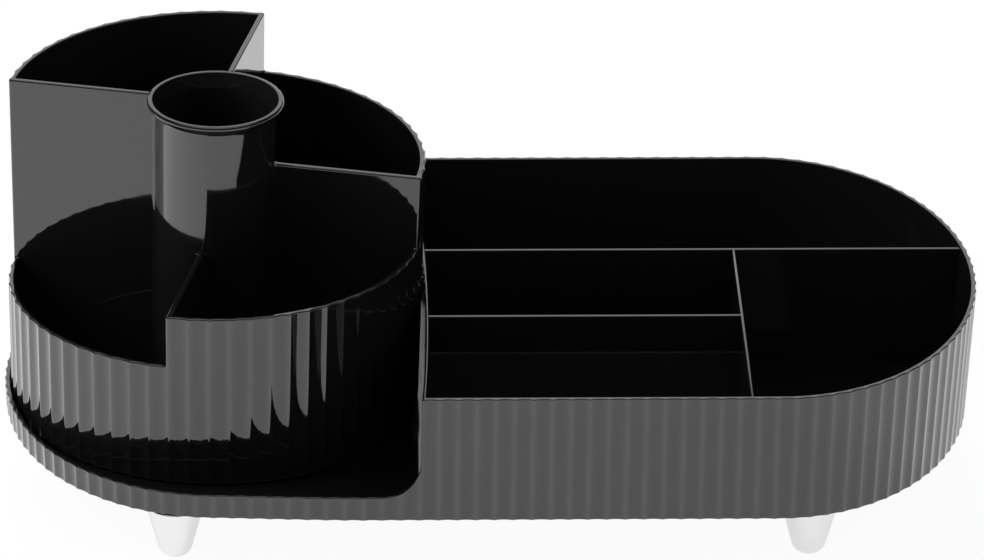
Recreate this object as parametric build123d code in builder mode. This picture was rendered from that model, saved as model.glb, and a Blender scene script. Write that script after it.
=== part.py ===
from build123d import *
import math
import os

# Rotating desk organizer: a fluted tray on four feet, with a round caddy that turns on its low end.
# Millimetres. +X runs along the base towards the tray, +Y to the back and +Z up. The origin lies on
# the surface that the feet stand on, under the middle of the base.

# Base outline, over the flute ridges at the height of the tray's rim
base_length = 340.0
base_width = 190.0
end_reach = 73.0
base_height = 47.5
base_draft = 3.0
base_flutes = 144
flute_depth = 0.5

# Base walls
base_wall = 1.5
base_floor = 2.2
low_rim_height = 9.0
sweep_radius = 13.5

# Tray compartments
tray_wall = 1.8
tray_wall_bow = 3.2
divider_wall = 1.4
divider_drop = 0.8
long_divider_y = 21.8
short_divider_y = -29.7
cross_divider_from_end = 83.0

# Feet
foot_height = 19.5
foot_top_radius = 10.1
foot_tip_radius = 4.95
foot_tip_rounding = 4.3
foot_from_end = 61.5
foot_from_side = 17.0
foot_boss_radius = 4.5
foot_boss_length = 8.5
foot_socket_clearance = 0.05
foot_socket_spare = 1.0

# Caddy
caddy_radius = 70.8
caddy_draft = 1.15
caddy_flutes = 64
caddy_wall = 1.8
caddy_turn = -13.5
caddy_divider = 2.0
caddy_floor = 2.0
caddy_end_gap = 1.0
caddy_wall_gap = 1.5
skirt_gap = 1.0
lowest_rim = 47.5
third_rim_step = 19.0
second_rim_step = 27.0
tallest_rim_step = 22.0
well_fillet = 3.0

# Cup in the middle of the caddy
cup_radius = 20.9
cup_wall = 1.8
lip_reach = 2.7
lip_drop = 4.6
lip_edge = 1.3
lip_bevel = 0.3

# Ball bearing between deck and caddy
track_radius = 52.0
track_rib_wall = 0.95
track_rib_height = 1.8
ball_diameter = 5.0
ball_count = 12
ball_clearance = 0.15
ball_seat = 0.9
cage_wall = 2.35
cage_gap = 0.3

# Pivot
hub_wall = 2.2
hub_top_gap = 0.5
pin_radius = 4.0
pin_clearance = 0.08
washer_radius = 6.0
washer_thickness = 1.0
washer_play = 0.2
washer_clearance = 0.6
screw_radius = 1.5
screw_hole_clearance = 0.2
screw_length = 7.0
screw_head_radius = 3.2
screw_head_height = 2.2
screw_hole_spare = 0.5
recess_width = 0.9
recess_length = 3.6
recess_depth = 1.0

# Heights, worked out from the sizes above
underside_z = foot_height
deck_z = underside_z + base_floor
rim_z = underside_z + base_height
low_rim_z = underside_z + low_rim_height
skirt_z = deck_z + skirt_gap
cage_thickness = ball_diameter - 2 * (ball_seat + cage_gap)
lower_rib_z = deck_z + track_rib_height
cage_z = lower_rib_z + cage_gap
upper_rib_z = cage_z + cage_thickness + cage_gap
caddy_under_z = upper_rib_z + track_rib_height
caddy_floor_z = caddy_under_z + caddy_floor
ball_z = (lower_rib_z + upper_rib_z) / 2
third_rim = lowest_rim + third_rim_step
second_rim = third_rim + second_rim_step
tallest_rim = second_rim + tallest_rim_step
top_z = underside_z + tallest_rim

# Widths and places, worked out from the sizes above
half_length = base_length / 2
half_width = base_width / 2
straight_half = half_length - end_reach
base_slope = math.tan(math.radians(base_draft))
caddy_slope = math.tan(math.radians(caddy_draft))
inner_inset = flute_depth + base_wall
cut_reach = 2 * base_length
quarter_flutes = round(base_flutes / 4)
groove_radius = ball_diameter / 2 + ball_clearance
track_rib_half = groove_radius + track_rib_wall
cage_half = groove_radius + cage_wall
lip_radius = cup_radius + lip_reach
hub_recess_radius = washer_radius + washer_clearance
hub_radius = hub_recess_radius + hub_wall


def base_inset(z):
    """Returns how far the base's outline is drawn in at a height, because of its draft."""
    return (rim_z - z) * base_slope


def caddy_ridge_radius(z):
    """Returns the caddy's radius over its flute ridges at a height."""
    return caddy_radius + (z - skirt_z) * caddy_slope


def caddy_inner_radius(z):
    """Returns the radius of the caddy's smooth inner wall at a height."""
    return caddy_ridge_radius(z) - flute_depth - caddy_wall


def base_plane(z):
    """Returns the level plane at a height, with its origin at the middle of the base's outline."""
    return Plane(origin=(base_middle_x, 0, z))


base_middle_x = -base_inset(low_rim_z) / 2
low_end_x = base_middle_x - half_length + base_inset(low_rim_z)
tray_end_x = base_middle_x + half_length
axis_x = low_end_x + inner_inset + caddy_end_gap + caddy_ridge_radius(low_rim_z)
tray_wall_x = axis_x + caddy_ridge_radius(rim_z) + caddy_wall_gap
sweep_x = tray_wall_x - tray_wall_bow
cross_divider_x = tray_end_x - cross_divider_from_end
foot_x = half_length - foot_from_end
foot_y = half_width - foot_from_side

hub_top_z = caddy_under_z - hub_top_gap
head_z = underside_z + washer_clearance
washer_z = head_z + screw_head_height
pin_end_z = washer_z + washer_thickness
hub_ceiling_z = pin_end_z + washer_play

turn_plane = Plane(
    origin=(axis_x, 0, 0),
    x_dir=(math.cos(math.radians(caddy_turn)), math.sin(math.radians(caddy_turn)), 0),
    z_dir=(0, 0, 1),
)


def outline_stations(steps):
    """Returns points of a quarter of the base's outline at equal steps, each with its outward normal.

    The quarter runs from the +X end round to the middle of the +Y side.
    """
    samples = 900
    angles = [math.pi / 2 * i / samples for i in range(samples + 1)]
    points = [(straight_half + end_reach * math.cos(a), half_width * math.sin(a)) for a in angles]
    lengths = [0.0]
    for before, after in zip(points, points[1:]):
        lengths.append(lengths[-1] + math.dist(before, after))
    stations = []
    for step in range(steps + 1):
        distance = (lengths[-1] + straight_half) * step / steps
        if distance >= lengths[-1]:
            stations.append((straight_half - (distance - lengths[-1]), half_width, 0.0, 1.0))
            continue
        i = next(k for k in range(samples) if lengths[k + 1] > distance)
        share = (distance - lengths[i]) / (lengths[i + 1] - lengths[i])
        angle = angles[i] + (angles[i + 1] - angles[i]) * share
        normal = Vector(math.cos(angle) / end_reach, math.sin(angle) / half_width).normalized()
        x = straight_half + end_reach * math.cos(angle)
        stations.append((x, half_width * math.sin(angle), normal.X, normal.Y))
    return stations


quarter_stations = outline_stations(2 * quarter_flutes)


def station_point(index, inset):
    """Returns a station of the quarter outline, moved inwards."""
    x, y, normal_x, normal_y = quarter_stations[index]
    return (x - inset * normal_x, y - inset * normal_y)


def fluted_outline(inset):
    """Draws the base's fluted outline: hollow arcs between ridges, one quarter mirrored twice."""
    for flute in range(quarter_flutes):
        ThreePointArc(
            station_point(2 * flute, inset),
            station_point(2 * flute + 1, inset + flute_depth),
            station_point(2 * flute + 2, inset),
        )
    mirror(about=Plane.YZ)
    mirror(about=Plane.XZ)


def plain_outline(inset):
    """Draws the base's outline without flutes, moved inwards."""
    y = half_width - inset
    Line((straight_half, -y), (-straight_half, -y))
    Line((straight_half, y), (-straight_half, y))
    for end, start_angle in ((1, -90), (-1, 90)):
        EllipticalCenterArc(
            (end * straight_half, 0),
            end_reach - inset,
            y,
            start_angle=start_angle,
            arc_size=180,
        )


def fluted_ring(radius):
    """Draws the caddy's fluted outline: hollow arcs between ridges on a circle."""
    pitch = 360 / caddy_flutes
    valley = radius * math.cos(math.radians(pitch / 2)) - flute_depth
    for flute in range(caddy_flutes):
        start = flute * pitch
        ThreePointArc(
            (radius * math.cos(math.radians(start)), radius * math.sin(math.radians(start))),
            (
                valley * math.cos(math.radians(start + pitch / 2)),
                valley * math.sin(math.radians(start + pitch / 2)),
            ),
            (
                radius * math.cos(math.radians(start + pitch)),
                radius * math.sin(math.radians(start + pitch)),
            ),
        )


# Hollows of the base: one drafted cavity, split by the tray's end wall and its dividers
with BuildPart() as base_hollows:
    for z in (deck_z, rim_z):
        with BuildSketch(base_plane(z)):
            with BuildLine():
                plain_outline(base_inset(z) + inner_inset)
            make_face()
    loft(ruled=True)
    with BuildSketch(Plane.XY.offset(deck_z)):
        with BuildLine():
            ThreePointArc((sweep_x, -half_width), (tray_wall_x, 0), (sweep_x, half_width))
            ThreePointArc(
                (sweep_x + tray_wall, -half_width),
                (tray_wall_x + tray_wall, 0),
                (sweep_x + tray_wall, half_width),
            )
            Line((sweep_x, -half_width), (sweep_x + tray_wall, -half_width))
            Line((sweep_x, half_width), (sweep_x + tray_wall, half_width))
        make_face()
    extrude(amount=rim_z - deck_z, mode=Mode.SUBTRACT)
    with BuildSketch(Plane.XY.offset(deck_z)):
        with Locations((tray_wall_x, long_divider_y)):
            Rectangle(cut_reach, divider_wall, align=(Align.MIN, Align.CENTER))
        with Locations((tray_wall_x, short_divider_y)):
            Rectangle(cross_divider_x - tray_wall_x, divider_wall, align=(Align.MIN, Align.CENTER))
        with Locations((cross_divider_x, long_divider_y)):
            Rectangle(divider_wall, cut_reach, align=(Align.CENTER, Align.MAX))
    extrude(amount=rim_z - divider_drop - deck_z, mode=Mode.SUBTRACT)

# Base: fluted shell, low at the caddy's end, with hub, ball track and foot bosses
with BuildPart() as base_tray:
    for z in (underside_z, rim_z):
        with BuildSketch(base_plane(z)):
            with BuildLine():
                fluted_outline(base_inset(z))
            make_face()
    loft(ruled=True)
    with BuildSketch(Plane.XZ):
        with BuildLine():
            FilletPolyline(
                (-cut_reach, low_rim_z),
                (sweep_x, low_rim_z),
                (sweep_x, cut_reach),
                radius=sweep_radius,
            )
            Polyline((sweep_x, cut_reach), (-cut_reach, cut_reach), (-cut_reach, low_rim_z))
        make_face()
    extrude(amount=cut_reach, both=True, mode=Mode.SUBTRACT)
    add(base_hollows.part, mode=Mode.SUBTRACT)
    with BuildSketch(Plane.XY.offset(underside_z)):
        with Locations((axis_x, 0)):
            Circle(hub_radius)
    extrude(amount=hub_top_z - underside_z)
    with BuildSketch(Plane.XY.offset(underside_z)):
        with Locations((axis_x, 0)):
            Circle(hub_recess_radius)
    extrude(amount=hub_ceiling_z - underside_z, mode=Mode.SUBTRACT)
    with BuildSketch(Plane.XY.offset(underside_z)):
        with Locations((axis_x, 0)):
            Circle(pin_radius + pin_clearance)
    extrude(amount=hub_top_z - underside_z, mode=Mode.SUBTRACT)
    with BuildSketch(Plane.XY.offset(deck_z)):
        with Locations((axis_x, 0)):
            Circle(track_radius + track_rib_half)
            Circle(track_radius - track_rib_half, mode=Mode.SUBTRACT)
    extrude(amount=track_rib_height)
    with Locations((axis_x, 0, ball_z)):
        Torus(track_radius, groove_radius, mode=Mode.SUBTRACT)
    with BuildSketch(base_plane(underside_z)):
        with GridLocations(2 * foot_x, 2 * foot_y, 2, 2):
            Circle(foot_boss_radius)
    extrude(amount=-foot_boss_length)

# Wells of the caddy: four quarters beside the dividers and the cup, inside a drafted wall
with BuildPart() as wells:
    for side_u, side_v, well_rim in (
        (-1, 1, tallest_rim),
        (1, 1, second_rim),
        (1, -1, third_rim),
        (-1, -1, lowest_rim),
    ):
        with BuildSketch(turn_plane.offset(caddy_floor_z)) as quarter:
            middle = (cut_reach + caddy_divider) / 2
            with Locations((side_u * middle, side_v * middle)):
                Rectangle(cut_reach, cut_reach)
            Circle(cup_radius, mode=Mode.SUBTRACT)
            fillet(quarter.vertices().sort_by(SortBy.DISTANCE)[:2], well_fillet)
        extrude(amount=underside_z + well_rim - caddy_floor_z)
    with BuildSketch(turn_plane.offset(caddy_floor_z)):
        Circle(caddy_inner_radius(caddy_floor_z))
    with BuildSketch(turn_plane.offset(top_z)):
        Circle(caddy_inner_radius(top_z))
    loft(ruled=True, mode=Mode.INTERSECT)

# Caddy: fluted shell with its rim cut down in steps, wells, cup, pivot pin and ball track
with BuildPart() as caddy:
    for z in (skirt_z, top_z):
        with BuildSketch(turn_plane.offset(z)):
            with BuildLine():
                fluted_ring(caddy_ridge_radius(z))
            make_face()
    loft(ruled=True)
    face = caddy_divider / 2
    with BuildSketch(turn_plane.offset(underside_z + lowest_rim)) as lowest_step:
        with Locations((-face, -face)):
            Rectangle(cut_reach, cut_reach, align=(Align.MAX, Align.MAX))
        Circle(cup_radius, mode=Mode.SUBTRACT)
        fillet(lowest_step.vertices().sort_by(SortBy.DISTANCE)[:2], well_fillet)
    extrude(amount=third_rim - lowest_rim, mode=Mode.SUBTRACT)
    with BuildSketch(turn_plane.offset(underside_z + third_rim)) as third_step:
        with Locations((0, -face)):
            Rectangle(cut_reach, cut_reach, align=(Align.CENTER, Align.MAX))
        Circle(cup_radius, mode=Mode.SUBTRACT)
        fillet(third_step.vertices().sort_by(SortBy.DISTANCE)[:2], well_fillet)
    extrude(amount=second_rim - third_rim, mode=Mode.SUBTRACT)
    with BuildSketch(turn_plane.offset(underside_z + second_rim)) as second_step:
        with Locations((0, -face)):
            Rectangle(cut_reach, cut_reach, align=(Align.CENTER, Align.MAX))
        with Locations((face, 0)):
            Rectangle(cut_reach, cut_reach, align=(Align.MIN, Align.CENTER))
        Circle(cup_radius, mode=Mode.SUBTRACT)
        fillet(second_step.vertices().sort_by(SortBy.DISTANCE)[:2], well_fillet)
    extrude(amount=tallest_rim - second_rim, mode=Mode.SUBTRACT)
    add(wells.part, mode=Mode.SUBTRACT)
    lip_plane = Plane(origin=(axis_x, 0, 0), x_dir=(1, 0, 0), z_dir=(0, -1, 0))
    lip_axis = Axis((axis_x, 0, 0), (0, 0, 1))
    with BuildSketch(lip_plane):
        with BuildLine():
            RadiusArc(
                (cup_radius, top_z - lip_drop),
                (lip_radius, top_z - lip_edge),
                -lip_drop,
            )
            Polyline(
                (lip_radius, top_z - lip_edge),
                (lip_radius - lip_bevel, top_z),
                (0, top_z),
                (0, top_z - lip_drop),
                (cup_radius, top_z - lip_drop),
            )
        make_face()
    revolve(axis=lip_axis)
    with BuildSketch(lip_plane):
        with BuildLine():
            RadiusArc(
                (cup_radius - cup_wall, top_z - lip_drop),
                (lip_radius - lip_edge, top_z),
                -lip_drop,
            )
            Polyline(
                (lip_radius - lip_edge, top_z),
                (0, top_z),
                (0, caddy_floor_z),
                (cup_radius - cup_wall, caddy_floor_z),
                (cup_radius - cup_wall, top_z - lip_drop),
            )
        make_face()
    revolve(axis=lip_axis, mode=Mode.SUBTRACT)
    with BuildSketch(turn_plane.offset(skirt_z)):
        Circle(caddy_inner_radius(skirt_z))
    extrude(amount=caddy_under_z - skirt_z, mode=Mode.SUBTRACT)
    with BuildSketch(turn_plane.offset(caddy_under_z)):
        Circle(track_radius + track_rib_half)
        Circle(track_radius - track_rib_half, mode=Mode.SUBTRACT)
    extrude(amount=-track_rib_height)
    with Locations((axis_x, 0, ball_z)):
        Torus(track_radius, groove_radius, mode=Mode.SUBTRACT)
    with BuildSketch(turn_plane.offset(caddy_under_z)):
        Circle(pin_radius)
    extrude(amount=pin_end_z - caddy_under_z)
    with BuildSketch(turn_plane.offset(pin_end_z)):
        Circle(screw_radius)
    extrude(amount=screw_length - washer_thickness + screw_hole_spare, mode=Mode.SUBTRACT)

# Ball cage, with a round window for each ball
with BuildPart() as ball_cage:
    with BuildSketch(turn_plane.offset(cage_z)):
        Circle(track_radius + cage_half)
        Circle(track_radius - cage_half, mode=Mode.SUBTRACT)
        with PolarLocations(track_radius, ball_count):
            Circle(groove_radius, mode=Mode.SUBTRACT)
    extrude(amount=cage_thickness)

# Balls, evenly spaced round the track
balls = {}
for number, place in enumerate(PolarLocations(track_radius, ball_count).local_locations, start=1):
    with BuildPart(turn_plane.offset(ball_z) * place) as ball:
        Sphere(ball_diameter / 2)
    balls[f"bearing_ball_{number:02d}"] = ball

# Pivot washer and screw, under the hub
with BuildPart() as pivot_washer:
    with BuildSketch(turn_plane.offset(washer_z)):
        Circle(washer_radius)
        Circle(screw_radius + screw_hole_clearance, mode=Mode.SUBTRACT)
    extrude(amount=washer_thickness)

with BuildPart() as pivot_screw:
    with BuildSketch(turn_plane.offset(washer_z)):
        Circle(screw_head_radius)
    extrude(amount=-screw_head_height)
    fillet(pivot_screw.edges().sort_by(Axis.Z)[0], screw_head_height / 2)
    with BuildSketch(turn_plane.offset(washer_z)):
        Circle(screw_radius)
    extrude(amount=screw_length)
    with BuildSketch(turn_plane.offset(head_z)):
        Rectangle(recess_length, recess_width)
        Rectangle(recess_width, recess_length)
    extrude(amount=recess_depth, mode=Mode.SUBTRACT)

# Feet: a tapered cone with a rounded tip and a socket that presses over a boss of the base
foot_places = {
    "foot_front_left": (base_middle_x - foot_x, -foot_y),
    "foot_front_right": (base_middle_x + foot_x, -foot_y),
    "foot_rear_left": (base_middle_x - foot_x, foot_y),
    "foot_rear_right": (base_middle_x + foot_x, foot_y),
}
feet = {}
for foot_name, (place_x, place_y) in foot_places.items():
    with BuildPart() as foot:
        with BuildSketch(Plane(origin=(place_x, place_y, 0), x_dir=(1, 0, 0), z_dir=(0, -1, 0))):
            with BuildLine():
                FilletPolyline(
                    (foot_top_radius, underside_z),
                    (foot_tip_radius, 0),
                    (0, 0),
                    radius=foot_tip_rounding,
                )
                Polyline((0, 0), (0, underside_z), (foot_top_radius, underside_z))
            make_face()
        revolve(axis=Axis((place_x, place_y, 0), (0, 0, 1)))
        with BuildSketch(Plane.XY.offset(underside_z)):
            with Locations((place_x, place_y)):
                Circle(foot_boss_radius + foot_socket_clearance)
        extrude(amount=-foot_boss_length - foot_socket_spare, mode=Mode.SUBTRACT)
    feet[foot_name] = foot

# Labels and files
pieces = {
    "base_tray": base_tray,
    "caddy": caddy,
    "ball_cage": ball_cage,
    **balls,
    "pivot_washer": pivot_washer,
    "pivot_screw": pivot_screw,
    **feet,
}
os.makedirs("parts", exist_ok=True)
for name, piece in pieces.items():
    piece.part.label = name
    export_step(piece.part, f"parts/{name}.step")
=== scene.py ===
import logging
import math
from dataclasses import dataclass, field
from enum import Enum
from typing import NamedTuple

import bmesh
import bpy
import numpy as np
from mathutils import Matrix, Vector


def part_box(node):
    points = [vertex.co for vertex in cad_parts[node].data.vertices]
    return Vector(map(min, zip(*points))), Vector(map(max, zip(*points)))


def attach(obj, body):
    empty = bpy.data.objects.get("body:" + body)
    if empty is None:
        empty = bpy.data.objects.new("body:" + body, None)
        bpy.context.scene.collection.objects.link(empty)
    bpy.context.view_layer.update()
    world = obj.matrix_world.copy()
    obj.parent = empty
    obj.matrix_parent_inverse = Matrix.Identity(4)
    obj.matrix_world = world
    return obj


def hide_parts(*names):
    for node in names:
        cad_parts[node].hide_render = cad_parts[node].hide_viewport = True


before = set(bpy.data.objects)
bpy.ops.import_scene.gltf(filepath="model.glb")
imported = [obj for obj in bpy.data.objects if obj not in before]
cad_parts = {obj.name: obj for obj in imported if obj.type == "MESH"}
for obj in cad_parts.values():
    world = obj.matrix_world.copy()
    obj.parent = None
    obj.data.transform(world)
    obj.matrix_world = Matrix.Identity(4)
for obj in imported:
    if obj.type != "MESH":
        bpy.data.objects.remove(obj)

# Dresses the rotating desk organizer: a fluted tray on plated feet with a fluted caddy that turns.
# Sizes are in millimetres in the frame of the part and become metres when a mesh is made.
MM = 0.001
QUARTER_TURN = math.pi / 2

# The forms of one moulding overlap: a hidden root goes this deep into its neighbour, and faces of two
# forms stay this far out of one plane.
ROOT = 0.3
SPARE = 0.01

# Point attribute for nearness to a flute's ridge; the gloss finish uses it to paint a highlight on the
# ridges.
RIDGE = "ridge"
LOG = logging.getLogger("desk_organizer")

# A profile's corners are radius, height and rounding radius. A grid is its points, the strips between
# rows that are shaded flat, and how near each point is to a flute's ridge.
Array = np.ndarray
Profile = list[tuple[float, float, float]]
Grid = tuple[Array, tuple[int, ...], Array]

# For an input's name or number, its value or the output that feeds it.
Sockets = dict[int | str, object]


class Slot(Enum):
    """Material slots of the record that the new pieces take their finish from."""

    BLACK_PLASTIC = "black_plastic"
    PLATED_FOOT = "plated_foot"


class Body(Enum):
    """Bodies of the part that the new pieces ride on."""

    BASE = "base"
    CADDY = "caddy"


class Turn(Enum):
    """Which way a rim steps as one walks round a wall counter-clockwise."""

    RISE = 1
    DROP = -1


# Mesh tools


def new_object(name: str, data: bpy.types.ID) -> bpy.types.Object:
    """Makes an object of some data and links it into the scene.

    Args:
        name: The object's name.
        data: Its mesh, light or camera.

    Returns:
        The new object.
    """
    new = bpy.data.objects.new(name, data)
    bpy.context.scene.collection.objects.link(new)
    return new


class MeshPiece:
    """Collects closed grids of points into one mesh object."""

    def __init__(self, name: str) -> None:
        """Starts an empty piece.

        Args:
            name: The object's name.
        """
        self.name = name
        self.grids: list[tuple[Array, ...]] = []
        self.count = 0

    def add_grid(self, rows: Array, flat: tuple[int, ...] = (), ridge: Array | None = None) -> None:
        """Adds a grid whose columns wrap round; its first and last rows are closed by their own points.

        Face (i, j) joins points (i, j), (i, j + 1), (i + 1, j + 1) and (i + 1, j), with j counted round.

        Args:
            rows: Points in millimetres, shaped (rows, columns, 3).
            flat: Strips between rows that are shaded flat, counted from 0.
            ridge: How near each point is to a flute's ridge, shaped (rows, columns).
        """
        row_count, column_count, _ = rows.shape
        size = row_count * column_count
        index = self.count + np.arange(size).reshape(row_count, column_count)
        near = index[:-1]
        far = index[1:]
        faces = np.stack([near, np.roll(near, -1, axis=1), np.roll(far, -1, axis=1), far], axis=-1)
        smooth = np.ones(faces.shape[:2], dtype=bool)
        smooth[list(flat)] = False
        ridges = np.zeros(size) if ridge is None else ridge.ravel()
        self.grids.append((rows.reshape(-1, 3), faces.reshape(-1, 4), smooth.ravel(), ridges))
        self.count += size

    def build(self, material: bpy.types.Material) -> bpy.types.Object:
        """Makes the object: seams merged, faces outwards, corners sharp and roundings smooth.

        Args:
            material: The finish of the whole piece.

        Returns:
            The new object, at the origin, with its place in its mesh.
        """
        merge_distance = 2e-6
        sharp_angle = math.radians(42)
        points, faces, smooth, ridges = (np.concatenate(parts) for parts in zip(*self.grids))
        mesh = bpy.data.meshes.new(self.name)
        mesh.from_pydata((points * MM).tolist(), [], faces.tolist())
        mesh.polygons.foreach_set("use_smooth", smooth)
        mesh.attributes.new(RIDGE, "FLOAT", "POINT").data.foreach_set("value", ridges)
        work = bmesh.new()
        work.from_mesh(mesh)
        bmesh.ops.remove_doubles(work, verts=work.verts, dist=merge_distance)
        bmesh.ops.recalc_face_normals(work, faces=work.faces)
        work.to_mesh(mesh)
        work.free()
        mesh.set_sharp_from_angle(angle=sharp_angle)
        mesh.materials.append(material)
        return new_object(self.name, mesh)


def rounding(radius: float, steps: int = 4) -> tuple[Array, Array]:
    """Returns a quarter round as distances from the two faces that it joins.

    The points are r (1 - sin a) from the first face's end and r (1 - cos a) from the second, a from 0 to
    a quarter turn, so they start on the first face and end on the second.

    Args:
        radius: Radius of the rounding.
        steps: Chords in the quarter.

    Returns:
        Distances still to go along the first face, and distances gone along the second.
    """
    angle = np.linspace(0, QUARTER_TURN, steps + 1)
    return radius * (1 - np.sin(angle)), radius * (1 - np.cos(angle))


def rounded_profile(corners: Profile, support: float = 0.12, steps: int = 5) -> Array:
    """Rounds the inner corners of a polyline and puts a support point beside each rounding.

    Each arc runs between the points r / tan(half the corner) from the corner, spread evenly by angle.

    Args:
        corners: The polyline's corners.
        support: Distance of the support points from the roundings.
        steps: Chords in each rounding.

    Returns:
        Points shaped (count, 2).
    """
    spots = np.array([corner[:2] for corner in corners])
    share = np.linspace(0, 1, steps + 1)[:, None]
    points = [spots[0]]
    for number in range(1, len(corners) - 1):
        corner = spots[number]
        radius = corners[number][2]
        if radius == 0:
            points.append(corner)
            continue
        back = spots[number - 1] - corner
        ahead = spots[number + 1] - corner
        back_way = back / np.linalg.norm(back)
        ahead_way = ahead / np.linalg.norm(ahead)
        half = math.acos(float(np.clip(back_way @ ahead_way, -1, 1))) / 2
        reach = radius / math.tan(half)
        middle_way = (back_way + ahead_way) / np.linalg.norm(back_way + ahead_way)
        middle = corner + middle_way * radius / math.sin(half)
        first = corner + back_way * reach - middle
        last = corner + ahead_way * reach - middle
        sweep = math.pi - 2 * half
        arc = (np.sin((1 - share) * sweep) * first + np.sin(share * sweep) * last) / math.sin(sweep)
        points.append(corner + back_way * (reach + support))
        points.extend(middle + arc)
        points.append(corner + ahead_way * (reach + support))
    points.append(spots[-1])
    return np.array(points)


def lathe(corners: Profile, place: tuple[float, float], segments: int) -> Array:
    """Turns a rounded profile round an upright axis: the point at angle a is (r cos a, r sin a, z).

    Args:
        corners: The profile's corners.
        place: The axis' x and y.
        segments: Columns round the axis.

    Returns:
        Points shaped (profile points, segments, 3).
    """
    outline = rounded_profile(corners)
    angle = np.linspace(0, 2 * math.pi, segments, endpoint=False)
    radius = outline[:, :1]
    height = np.broadcast_to(outline[:, 1:], (len(outline), segments))
    return np.stack([place[0] + radius * np.cos(angle), place[1] + radius * np.sin(angle), height], axis=-1)


def post(radius: float, end: float, root: float, edge: float) -> Profile:
    """Returns the profile of a round post, from its end with a rounded edge to its hidden root."""
    return [(0.0, end, 0.0), (radius, end, edge), (radius, root, 0.0), (0.0, root, 0.0)]


@dataclass(frozen=True)
class Bearing:
    """The upright axis that the caddy turns about, and the ribs that hold the balls' tracks."""

    axis: tuple[float, float] = (-95.07472, 0.0)
    track_radius: float = 52.0
    track_half: float = 3.6
    track_height: float = 1.8
    shoulder: float = 0.3
    segments: int = 128

    def rib(self, root: float, crest: float) -> Array:
        """Returns a ring from its hidden root to its crest.

        Args:
            root: Height of the root, inside the floor that carries the ring.
            crest: Height of the face towards the balls.

        Returns:
            Points shaped (profile points, segments, 3).
        """
        inner = self.track_radius - self.track_half
        outer = self.track_radius + self.track_half
        section = [
            (inner, root, 0.0), (inner, crest, self.shoulder), (outer, crest, self.shoulder),
            (outer, root, 0.0), (inner, root, 0.0),
        ]
        return lathe(section, self.axis, self.segments)


# Walls with a rim that steps up and down


class Step(NamedTuple):
    """An upright edge in a rim: its distance along the wall, the rims that it joins, and its turn."""

    at: float
    low: float
    high: float
    turn: Turn


@dataclass
class RimPath:
    """The free edge of a wall, unrolled: distance along the wall, height and the way into the wall."""

    along: Array
    height: Array
    into_along: Array
    into_height: Array

    @staticmethod
    def level(along: Array, height: float) -> "RimPath":
        """Returns a level stretch at a height through the given distances."""
        return RimPath(along, np.full_like(along, height), np.zeros_like(along), -np.ones_like(along))

    @staticmethod
    def upright(step: Step, foot: float, crown: float) -> "RimPath":
        """Returns an upright edge with an arc at its foot and a rounded crown.

        The foot's arc runs round (at - foot, low + foot) and the crown's round (at + crown, high - crown);
        a drop is the same, mirrored about the edge.

        Args:
            step: Where the edge stands, its heights and its turn.
            foot: Radius of the hollow arc at the foot.
            crown: Radius of the round corner at the top.

        Returns:
            The stretch of path, without the level rims beside it.
        """
        fewest_chords = 4
        chords_per_mm = 2
        crown_chords = 5
        at, low, high, turn = step
        foot_angle = np.linspace(0, QUARTER_TURN, max(fewest_chords, round(chords_per_mm * foot)) + 1)
        crown_angle = np.linspace(0, QUARTER_TURN, crown_chords + 1)
        foot_along = at - foot + foot * np.sin(foot_angle)
        crown_along = at + crown - crown * np.cos(crown_angle)
        foot_height = low + foot - foot * np.cos(foot_angle)
        crown_height = high - crown + crown * np.sin(crown_angle)
        along = np.concatenate([foot_along, crown_along])
        height = np.concatenate([foot_height, crown_height])
        into_along = np.concatenate([np.sin(foot_angle), np.cos(crown_angle)])
        into_height = np.concatenate([-np.cos(foot_angle), -np.sin(crown_angle)])
        if turn is Turn.DROP:
            return RimPath((2 * at - along)[::-1], height[::-1], -into_along[::-1], into_height[::-1])
        return RimPath(along, height, into_along, into_height)

    @staticmethod
    def join(stretches: list["RimPath"]) -> "RimPath":
        """Returns one path through several stretches, in order."""
        parts = zip(*((part.along, part.height, part.into_along, part.into_height) for part in stretches))
        return RimPath(*(np.concatenate(part) for part in parts))


@dataclass
class Fluting:
    """Hollow flutes side by side, with ridges that are slightly rounded."""

    pitch: float
    depth: float
    ridge_rounding: float = 0.32
    end_margin: float = 0.05

    def depth_at(self, along: Array) -> Array:
        """Returns how far the surface lies under the ridges.

        Between ridges it is a circle's arc through both ridges and the valley, R = (w^2 / 4 + d^2) / 2d.
        Within the rounding of a ridge it is the parabola that meets the arc with the same slope.

        Args:
            along: Distances along the wall; a ridge stands at each multiple of the pitch.

        Returns:
            Depths, of the same shape.
        """
        half = self.pitch / 2
        edge = self.ridge_rounding
        radius = (self.pitch ** 2 / 4 + self.depth ** 2) / (2 * self.depth)
        from_ridge = np.abs((along / self.pitch + 0.5) % 1 - 0.5) * self.pitch
        arc = np.sqrt(radius ** 2 - (from_ridge - half) ** 2) - (radius - self.depth)
        edge_drop = math.sqrt(radius ** 2 - (edge - half) ** 2)
        edge_depth = edge_drop - (radius - self.depth)
        slope = (half - edge) / edge_drop
        crest = edge_depth - slope * edge / 2 + slope * from_ridge ** 2 / (2 * edge)
        return np.where(from_ridge < edge, crest, arc)

    def stations(self, start: float, stop: float) -> Array:
        """Returns distances between two places, close together at the ridges and wider in the hollows.

        Args:
            start: Where the stretch begins.
            stop: Where it ends.

        Returns:
            Distances along the wall, in order.
        """
        shares = np.array([0, 0.03, 0.06, 0.12, 0.21, 0.32, 0.44, 0.56, 0.68, 0.79, 0.88, 0.94, 0.97])
        ridges = np.arange(math.floor(start / self.pitch) - 1, math.ceil(stop / self.pitch) + 1)
        spots = ((ridges[:, None] + shares) * self.pitch).ravel()
        return spots[(spots > start + self.end_margin) & (spots < stop - self.end_margin)]


@dataclass
class Row:
    """One row of a wall's grid, and whether the strip after it is flat."""

    points: Array
    ridge: Array
    starts_flat: bool = False


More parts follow.
